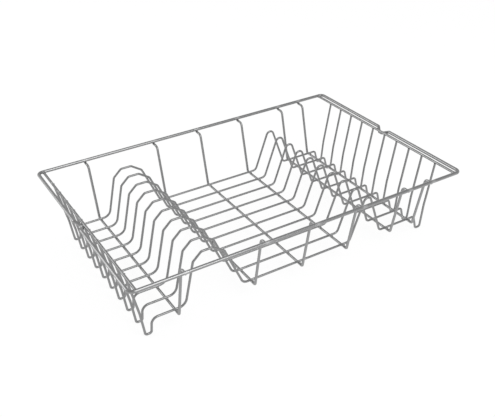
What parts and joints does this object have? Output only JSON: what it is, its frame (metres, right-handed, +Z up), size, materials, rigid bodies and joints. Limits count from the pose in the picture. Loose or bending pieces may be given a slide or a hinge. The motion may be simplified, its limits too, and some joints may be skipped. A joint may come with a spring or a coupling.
{
  "type": "dish drying rack",
  "caption": "Welded wire basket on U feet with a wide and a narrow row of humps for standing plates, a heavier rim with notched short sides, and bars across both ends.",
  "frame": {"origin": "centre of the footprint on the table the feet stand on", "axes": "+X along the rack towards the narrow humps, +Y across it, +Z up"},
  "size_m": [0.48, 0.314, 0.101],
  "materials": {
    "rim_wire": "bright chrome-plated steel wire",
    "end_bar": "bright chrome-plated steel wire",
    "plate_wire": "bright chrome-plated steel wire",
    "cross_wire": "bright chrome-plated steel wire"
  },
  "bodies": {
    "root": {"rim_wire": "rim_wire", "left_end_bar": "end_bar", "right_end_bar": "end_bar", "plate_wire_1": "plate_wire", "plate_wire_2": "plate_wire", "plate_wire_3": "plate_wire", "plate_wire_4": "plate_wire", "plate_wire_5": "plate_wire", "plate_wire_6": "plate_wire", "plate_wire_7": "plate_wire", "plate_wire_8": "plate_wire", "plate_wire_9": "plate_wire", "plate_wire_10": "plate_wire", "cross_wire_1": "cross_wire", "cross_wire_2": "cross_wire", "cross_wire_3": "cross_wire", "cross_wire_4": "cross_wire", "cross_wire_5": "cross_wire", "cross_wire_6": "cross_wire"}
  },
  "joints": []
}
